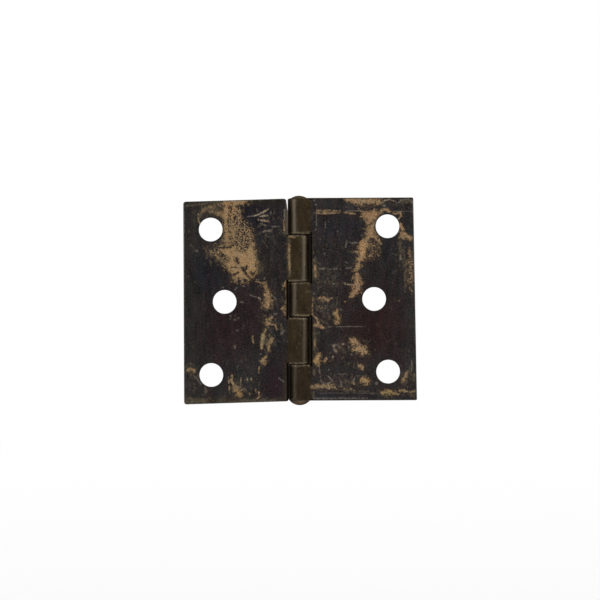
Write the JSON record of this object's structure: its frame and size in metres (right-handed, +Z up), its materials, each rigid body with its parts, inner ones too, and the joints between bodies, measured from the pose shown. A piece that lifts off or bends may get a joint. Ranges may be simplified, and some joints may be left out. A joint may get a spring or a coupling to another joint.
{
  "type": "butt hinge",
  "caption": "Flat furniture butt hinge: stamped brass leaves rolled into interleaved knuckles on a riveted pin, with staggered countersunk screw holes and a dark worn patina.",
  "frame": {"origin": "on the pin axis, at half the height of the leaves", "axes": "+Z up along the pin; the hinge is open flat, with the frame leaf to +X and the door leaf to -X; -Y is the way the backs of the leaves face, onto the wood; the leaves close towards +Y"},
  "size_m": [0.0511, 0.005, 0.0464],
  "materials": {
    "leaf_patina": "brown-black patina, worn through to bare brass in ragged patches",
    "pin_patina": "dark patina, rubbed on the riveted heads"
  },
  "bodies": {
    "frame_side": {"frame_leaf": "leaf_patina", "hinge_pin": "pin_patina"},
    "door_side": {"door_leaf": "leaf_patina"}
  },
  "joints": [
    {"name": "leaf_swing", "type": "hinge", "parent": "frame_side", "child": "door_side", "pos_m": [0, 0, 0], "axis": [0, 0, -1], "range_deg": [-85, 185]}
  ]
}
